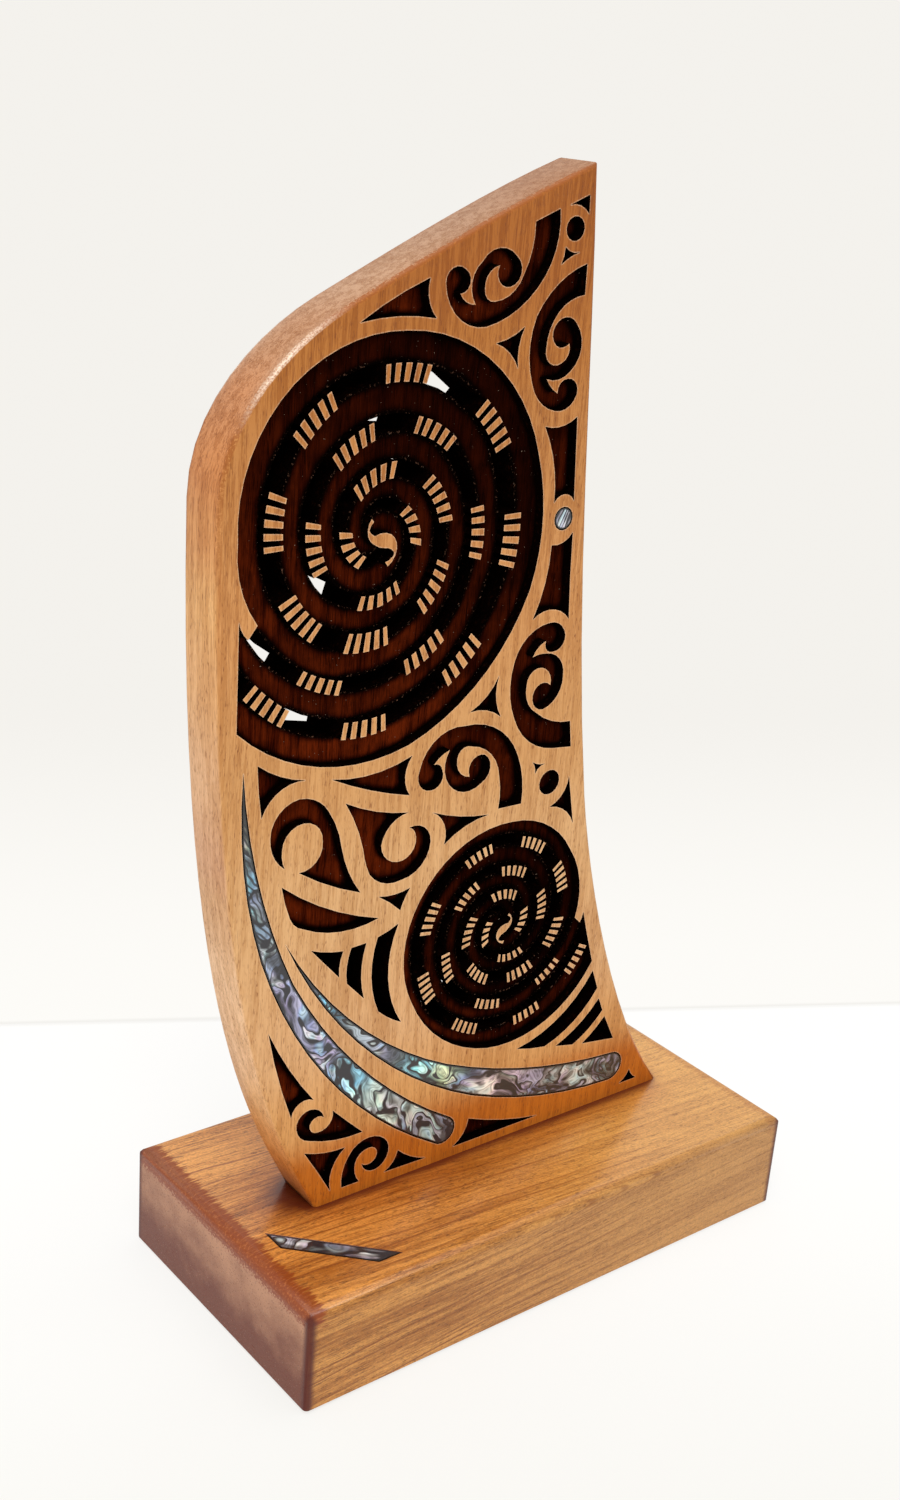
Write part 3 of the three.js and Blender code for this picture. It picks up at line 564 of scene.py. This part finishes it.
# the base: long grain on its top and sides, end grain and burnished edges at its ends
baseFinish = {
    "light": (0.785, 0.328, 0.069, 1),
    "dark": (0.41, 0.130, 0.018, 1),
    "pore": (0.10, 0.026, 0.006, 1),
    "late": (0.28, 0.078, 0.013, 1),
    "endUpper": (0.49, 0.240, 0.130, 1),
    "endLower": (0.158, 0.032, 0.010, 1),
    "tintLeft": (0.96, 0.95, 0.96, 1),
    "tintRight": (0.95, 1.13, 1.25, 1),
    "frontLeft": (0.86, 0.95, 1.04, 1),
    "frontRight": (0.75, 0.745, 0.90, 1),
    "burnish": (0.23, 0.038, 0.006, 1),
    "cornerLineAndShade": (0.09, 0.010, 0.003, 1),
    "front": -53.0,
    "top": 36.0,
    "loopTip": 40.0,
    "rise": 15.0,
    "ringWidth": 3.6,
    "heel": -69.0,
    "footShadeTint": (0.82, 0.66, 0.45, 1),
    "backLeftHighlightTint": (1.14, 1.24, 1.34, 1),
    "panelShadowAndReflectionTint": (0.96, 0.89, 0.79, 1),
    "burnishPale": (0.40, 0.11, 0.03, 1),
    "glint": (0.62, 0.42, 0.32, 1),
}


def baseGrainPlace(tree, parts, look):
    # where a point lies across the grain: the lines run nearly along the base and close in long loops at
    # its front edge, with the tips towards the right end
    fold = calc(tree, "ADD", calc(tree, "SUBTRACT", parts["Y"], look["front"]),
                calc(tree, "SUBTRACT", parts["Z"], look["top"]))
    place = joined(tree, calc(tree, "MULTIPLY", parts["X"], 0.014), calc(tree, "MULTIPLY", fold, 0.05))
    wander = remap(tree, parts["X"], -40.0, 20.0, 6.5, 2.5)
    fold = calc(tree, "ADD", fold, centred(tree, noise(tree, place, 1.0, 2.0, 0.5), wander))
    bow = calc(tree, "MULTIPLY", fold, fold)
    bow = calc(tree, "SQRT", calc(tree, "SQRT", calc(tree, "MULTIPLY_ADD", bow, bow, 5.0)))
    lean = calc(tree, "DIVIDE", calc(tree, "SUBTRACT", parts["X"], look["loopTip"]), look["rise"])
    return calc(tree, "ADD", bow, lean)


def makeBaseTimber():
    look = baseFinish
    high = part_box("base_block")[1]
    material, tree, shader = startMaterial("baseTimber", Specular_IOR_Level=0.2, Coat_Roughness=0.22)
    vector, parts = millimetres(tree, "YZX")
    across = baseGrainPlace(tree, parts, look)
    place = joined(tree, across, parts["Z"], parts["X"])
    calm = remap(tree, parts["X"], -80.0, 85.0)
    paler = blend(tree, calm, look["tintLeft"], look["tintRight"])
    dark = blend(tree, calc(tree, "MULTIPLY", calm, 0.55), look["dark"], look["light"])
    grain = useGroup(tree, timber, {
        "Vector": place, "Light": multiplied(tree, look["light"], paler),
        "Dark": multiplied(tree, dark, paler), "Pore": look["pore"],
        "Pore Amount": calc(tree, "MULTIPLY_ADD", calm, -0.2, 0.62), "Pore Length": 2.0,
        "Pore Limit": 0.565, "Figure": 0.8, "Streaks": 0.75,
        "Lines": calc(tree, "MULTIPLY_ADD", calm, -0.55, 0.75)})
    count = calc(tree, "DIVIDE", across, look["ringWidth"])
    share = calc(tree, "FRACT", count)
    ring = calc(tree, "FLOOR", count)
    strength = putNode(tree, "ShaderNodeTexWhiteNoise", {"W": ring}, noise_dimensions="1D").outputs["Value"]
    late = product(tree, remap(tree, share, 0.68, 0.94), remap(tree, share, 1.0, 0.95),
                   remap(tree, strength, 0.1, 1.0, 0.25, 1.0),
                   calc(tree, "MULTIPLY_ADD", calm, -0.75, 1.0))
    colour = blend(tree, late, grain["Color"], look["late"])
    flecks = remap(tree, noise(tree, vector, 1.3, 3.0, 0.65), 0.35, 0.68, 1.07, 0.84)
    colour = multiplied(tree, colour, grey(tree, flecks))
    # nested hairpins at the tip of the loops
    loops = calc(tree, "FRACT", calc(tree, "DIVIDE", across, 0.98))
    loops = product(tree, remap(tree, fromMiddle(tree, loops), 0.16, 0.05),
                    remap(tree, across, 1.75, 1.55), remap(tree, parts["X"], -35.0, 10.0, 0.0, 0.5))
    colour = blend(tree, loops, colour, look["late"])
    fromEnd = calc(tree, "SUBTRACT", high.x * 1000, calc(tree, "ABSOLUTE", parts["X"]))
    fromTop = calc(tree, "SUBTRACT", high.z * 1000, parts["Z"])
    fromFront = calc(tree, "SUBTRACT", high.y * 1000, calc(tree, "ABSOLUTE", parts["Y"]))
    facing = facingParts(tree)
    onEnd = remap(tree, calc(tree, "ABSOLUTE", facing["X"]), 0.55, 0.85)
    onFront = remap(tree, calc(tree, "ABSOLUTE", facing["Y"]), 0.1, 0.75)
    # painted light and shade on the front faces: a tint of their own, darker towards the right end
    front = blend(tree, calm, look["frontLeft"], look["frontRight"])
    colour = blend(tree, onFront, colour, multiplied(tree, colour, front))
    # painted shadow and reflection of the panel on the top in front of it
    panelShadowAndReflection = remap(tree, calc(tree, "ABSOLUTE", calc(tree, "ADD", parts["Y"], 26.0)), 20.0, 8.0)
    panelShadowAndReflection = product(tree, panelShadowAndReflection, remap(tree, parts["X"], 45.0, 0.0), remap(tree, facing["Z"], 0.9, 0.99))
    colour = blend(tree, panelShadowAndReflection, colour, multiplied(tree, colour, look["panelShadowAndReflectionTint"]))
    # a painted highlight towards the back of the left end
    backLeftHighlight = product(tree, remap(tree, parts["X"], -55.0, -85.0), remap(tree, parts["Y"], -10.0, 20.0))
    colour = blend(tree, backLeftHighlight, colour, multiplied(tree, colour, look["backLeftHighlightTint"]))
    cloudy = noise(tree, vector, 0.06, 3.0, 0.55)
    lower = calc(tree, "ADD", fromTop, centred(tree, cloudy, 40.0))
    ends = blend(tree, remap(tree, lower, 2.0, 30.0), look["endUpper"], look["endLower"])
    speckle = remap(tree, noise(tree, vector, 1.6, 2.0), 0.56, 0.7, 0.0, 0.5)
    ends = blend(tree, speckle, ends, look["pore"])
    glints = remap(tree, noise(tree, vector, 2.6, 1.0), 0.66, 0.76, 0.0, 0.35)
    ends = blend(tree, glints, ends, look["glint"])
    colour = blend(tree, onEnd, colour, ends)
    reach = calc(tree, "MAXIMUM", fromEnd, fromTop)
    streak = vectorCalc(tree, "MULTIPLY", vector, (1.0, 1.0, 0.06))
    ragged = noise(tree, streak, 1.2, 3.0, 0.7)
    band = remap(tree, calc(tree, "ADD", reach, centred(tree, ragged, 10.0)), 6.2, 4.8)
    band = calc(tree, "MULTIPLY", band, remap(tree, parts["X"], 20.0, -20.0, 0.3, 1.0))
    corner = remap(tree, calc(tree, "ADD", fromFront, fromEnd), 3.6, 1.2)
    burnished = blend(tree, remap(tree, ragged, 0.50, 0.68), look["burnish"], look["burnishPale"])
    colour = blend(tree, calc(tree, "MULTIPLY", band, 0.88), colour, burnished)
    colour = blend(tree, calc(tree, "MULTIPLY", corner, 0.95), colour, look["cornerLineAndShade"])
    # painted shade close along the panel's foot, and a wider painted shadow beside its heel
    close = closeness(tree, 6.0, ownOnly=False)
    wide = closeness(tree, 22.0, ownOnly=False)
    shaded = calc(tree, "MULTIPLY", remap(tree, wide, 1.0, 0.6), remap(tree, facing["Z"], 0.6, 0.95))
    colour = blend(tree, shaded, colour, multiplied(tree, colour, look["footShadeTint"]))
    pastHeel = remap(tree, parts["X"], look["heel"], look["heel"] - 2.0)
    wide = calc(tree, "MULTIPLY", remap(tree, wide, 0.85, 0.5), pastHeel)
    footAndHeelShade = calc(tree, "MAXIMUM", remap(tree, close, 1.0, 0.6), wide)
    footAndHeelShade = calc(tree, "MULTIPLY", footAndHeelShade, remap(tree, facing["Z"], 0.6, 0.95, 0.0, 0.95))
    colour = blend(tree, footAndHeelShade, colour, look["cornerLineAndShade"])
    tree.links.new(colour, shader["Base Color"])
    level = calc(tree, "ABSOLUTE", facing["Z"])
    onRound = calc(tree, "MULTIPLY", remap(tree, level, 0.98, 0.9), remap(tree, level, 0.05, 0.2))
    dull = calc(tree, "MAXIMUM", calc(tree, "MULTIPLY", onEnd, 0.76), calc(tree, "MULTIPLY", band, 0.6))
    dull = calc(tree, "MAXIMUM", dull, calc(tree, "MULTIPLY", onRound, 0.6))
    dull = calc(tree, "MAXIMUM", dull, calc(tree, "MULTIPLY", onFront, 0.6))
    tree.links.new(calc(tree, "SUBTRACT", 0.9, dull), shader["Coat Weight"])
    tree.links.new(calc(tree, "MULTIPLY_ADD", grain["Pores"], 0.25, 0.35), shader["Roughness"])
    addBump(tree, shader, grain["Height"], 0.4)
    return material


base = finishedCopy("base_block", "baseBlock", lambda normal: max(abs(part) for part in normal) > 0.9999)
base.data.materials.append(makeBaseTimber())
print("base finished")


# hidden fastenings and the felt
steelFinish = {"zinc": (0.62, 0.5, 0.26, 1), "worn": (0.5, 0.46, 0.38, 1)}
feltFinish = {"nap": (0.012, 0.014, 0.012, 1), "fibre": (0.05, 0.056, 0.05, 1)}


def makeScrewSteel():
    material, tree, shader = startMaterial("screwSteel", Metallic=1.0)
    worn = noise(tree, millimetres(tree)[0], 0.9, 3.0)
    tree.links.new(blend(tree, worn, steelFinish["zinc"], steelFinish["worn"]), shader["Base Color"])
    tree.links.new(remap(tree, worn, 0.3, 0.7, 0.28, 0.45), shader["Roughness"])
    return material


def makeFelt():
    material, tree, shader = startMaterial("baseFelt", Sheen_Weight=0.4, Sheen_Roughness=0.5)
    fibre = noise(tree, millimetres(tree)[0], 2.4, 4.0, 0.7, 1.5)
    colour = blend(tree, remap(tree, fibre, 0.35, 0.7), feltFinish["nap"], feltFinish["fibre"])
    tree.links.new(colour, shader["Base Color"])
    tree.links.new(remap(tree, fibre, 0.3, 0.7, 0.85, 1.0), shader["Roughness"])
    addBump(tree, shader, fibre, 0.6, 0.0002)
    return material


steel = makeScrewSteel()
for node in ("foot_screw_1", "foot_screw_2"):
    paint(node, steel)
paint("base_felt", makeFelt())
print("screws and felt finished")


# floor, light and camera
stageLook = {
    "size": 30.0,
    "floorNear": (0.875, 0.865, 0.82, 1),
    "floorFar": (1.0, 1.0, 0.99, 1),
    "floorPaint": (0.98, 0.97, 0.95, 1),
    "wall": (0.905, 0.885, 0.845, 1),
    "wallFoot": (0.985, 0.970, 0.935, 1),
    "seam": (0.80, 0.785, 0.75, 1),
    "seamNormal": (0.4694, 0.8830, 0.0),
    "seamDistance": 0.142,
    "glow": 0.78,
    "world": 0.60,
    "worldColour": (1, 0.985, 0.96, 1),
}


def seenDirectly(tree):
    # one for the camera's rays and for those of mirror images and of what shows through glass
    paths = putNode(tree, "ShaderNodeLightPath").outputs
    direct = calc(tree, "MAXIMUM", paths["Is Glossy Ray"], paths["Is Transmission Ray"])
    return calc(tree, "MAXIMUM", paths["Is Camera Ray"], direct)


def makeFloor():
    # a pale floor that meets a pale wall along a faint seam; the seam is part of the floor's paint
    look = stageLook
    mesh = bpy.data.meshes.new("floor")
    work = bmesh.new()
    bmesh.ops.create_grid(work, x_segments=1, y_segments=1, size=look["size"])
    work.to_mesh(mesh)
    work.free()
    floor = bpy.data.objects.new("floor", mesh)
    bpy.context.scene.collection.objects.link(floor)
    material = bpy.data.materials.new("floorPaper")
    material.use_nodes = True
    tree = material.node_tree
    tree.nodes.clear()
    spot = putNode(tree, "ShaderNodeTexCoord").outputs["Object"]
    away = vectorCalc(tree, "DOT_PRODUCT", spot, look["seamNormal"], "Value")
    away = calc(tree, "SUBTRACT", away, look["seamDistance"])
    near = blend(tree, remap(tree, away, -0.4, -0.05), look["floorNear"], look["floorFar"])
    isWall = calc(tree, "GREATER_THAN", away, 0.0)
    line = calc(tree, "SUBTRACT", 1.0, remap(tree, calc(tree, "ABSOLUTE", away), 0.0004, 0.003))
    wall = blend(tree, remap(tree, away, 0.40, 0.0), look["wall"], look["wallFoot"])
    plain = blend(tree, isWall, near, wall)
    plain = blend(tree, calc(tree, "MULTIPLY", line, 0.45), plain, look["seam"])
    lit = putNode(tree, "ShaderNodeBsdfDiffuse", {"Color": look["floorPaint"]}).outputs[0]
    glow = putNode(tree, "ShaderNodeEmission", {"Color": plain, "Strength": 1.0}).outputs[0]
    share = calc(tree, "MULTIPLY", seenDirectly(tree), calc(tree, "MAXIMUM", isWall, look["glow"]))
    both = putNode(tree, "ShaderNodeMixShader", {0: share, 1: lit, 2: glow}).outputs[0]
    putNode(tree, "ShaderNodeOutputMaterial", {"Surface": both})
    mesh.materials.append(material)


def makeWorld():
    look = stageLook
    world = bpy.data.worlds.new("studio")
    bpy.context.scene.world = world
    world.use_nodes = True
    tree = world.node_tree
    tree.nodes.clear()
    soft = putNode(tree, "ShaderNodeBackground", {"Color": look["worldColour"], "Strength": look["world"]})
    white = putNode(tree, "ShaderNodeBackground", {"Color": look["wall"], "Strength": 1.0})
    parts = {0: seenDirectly(tree), 1: soft.outputs[0], 2: white.outputs[0]}
    both = putNode(tree, "ShaderNodeMixShader", parts).outputs[0]
    putNode(tree, "ShaderNodeOutputWorld", {"Surface": both})


lamps = {
    "keyLight": {"place": (-0.7, -0.8, 1.45), "target": (0, 0, 0.15), "size": 0.8, "power": 14.0},
    "topLight": {"place": (0.1, -0.2, 1.9), "target": (0, 0, 0), "size": 1.2, "power": 10.0},
}


def addLamp(name, place, target, size, power):
    lamp = bpy.data.lights.new(name, "AREA")
    lamp.shape = "SQUARE"
    lamp.size = size
    lamp.energy = power
    holder = bpy.data.objects.new(name, lamp)
    holder.location = place
    holder.rotation_euler = (Vector(target) - Vector(place)).to_track_quat("-Z", "Y").to_euler()
    bpy.context.scene.collection.objects.link(holder)


cameraPose = {
    "azimuth": -39.4836,
    "elevation": 20.9042,
    "roll": 4.4095,
    "place": (-0.34833, -0.39573, 0.37429),
    "lens": 43.34,
}


def makeCamera():
    look = cameraPose
    a, e, r = (math.radians(look[key]) for key in ("azimuth", "elevation", "roll"))
    back = Vector((math.sin(a) * math.cos(e), -math.cos(a) * math.cos(e), math.sin(e)))
    right = Vector((0, 0, 1)).cross(back).normalized()
    up = back.cross(right)
    tilted = math.cos(r) * right + math.sin(r) * up
    upright = math.cos(r) * up - math.sin(r) * right
    lens = bpy.data.cameras.new("camera")
    lens.lens = look["lens"]
    lens.sensor_width = 36.0
    lens.clip_start = 0.01
    camera = bpy.data.objects.new("camera", lens)
    turn = Matrix((tilted, upright, back)).transposed().to_4x4()
    camera.matrix_world = Matrix.Translation(look["place"]) @ turn
    bpy.context.scene.collection.objects.link(camera)
    bpy.context.scene.camera = camera


makeFloor()
makeWorld()
for name, look in lamps.items():
    addLamp(name, **look)
makeCamera()
bpy.context.scene.view_settings.view_transform = "Standard"
print("stage, lights and camera set")
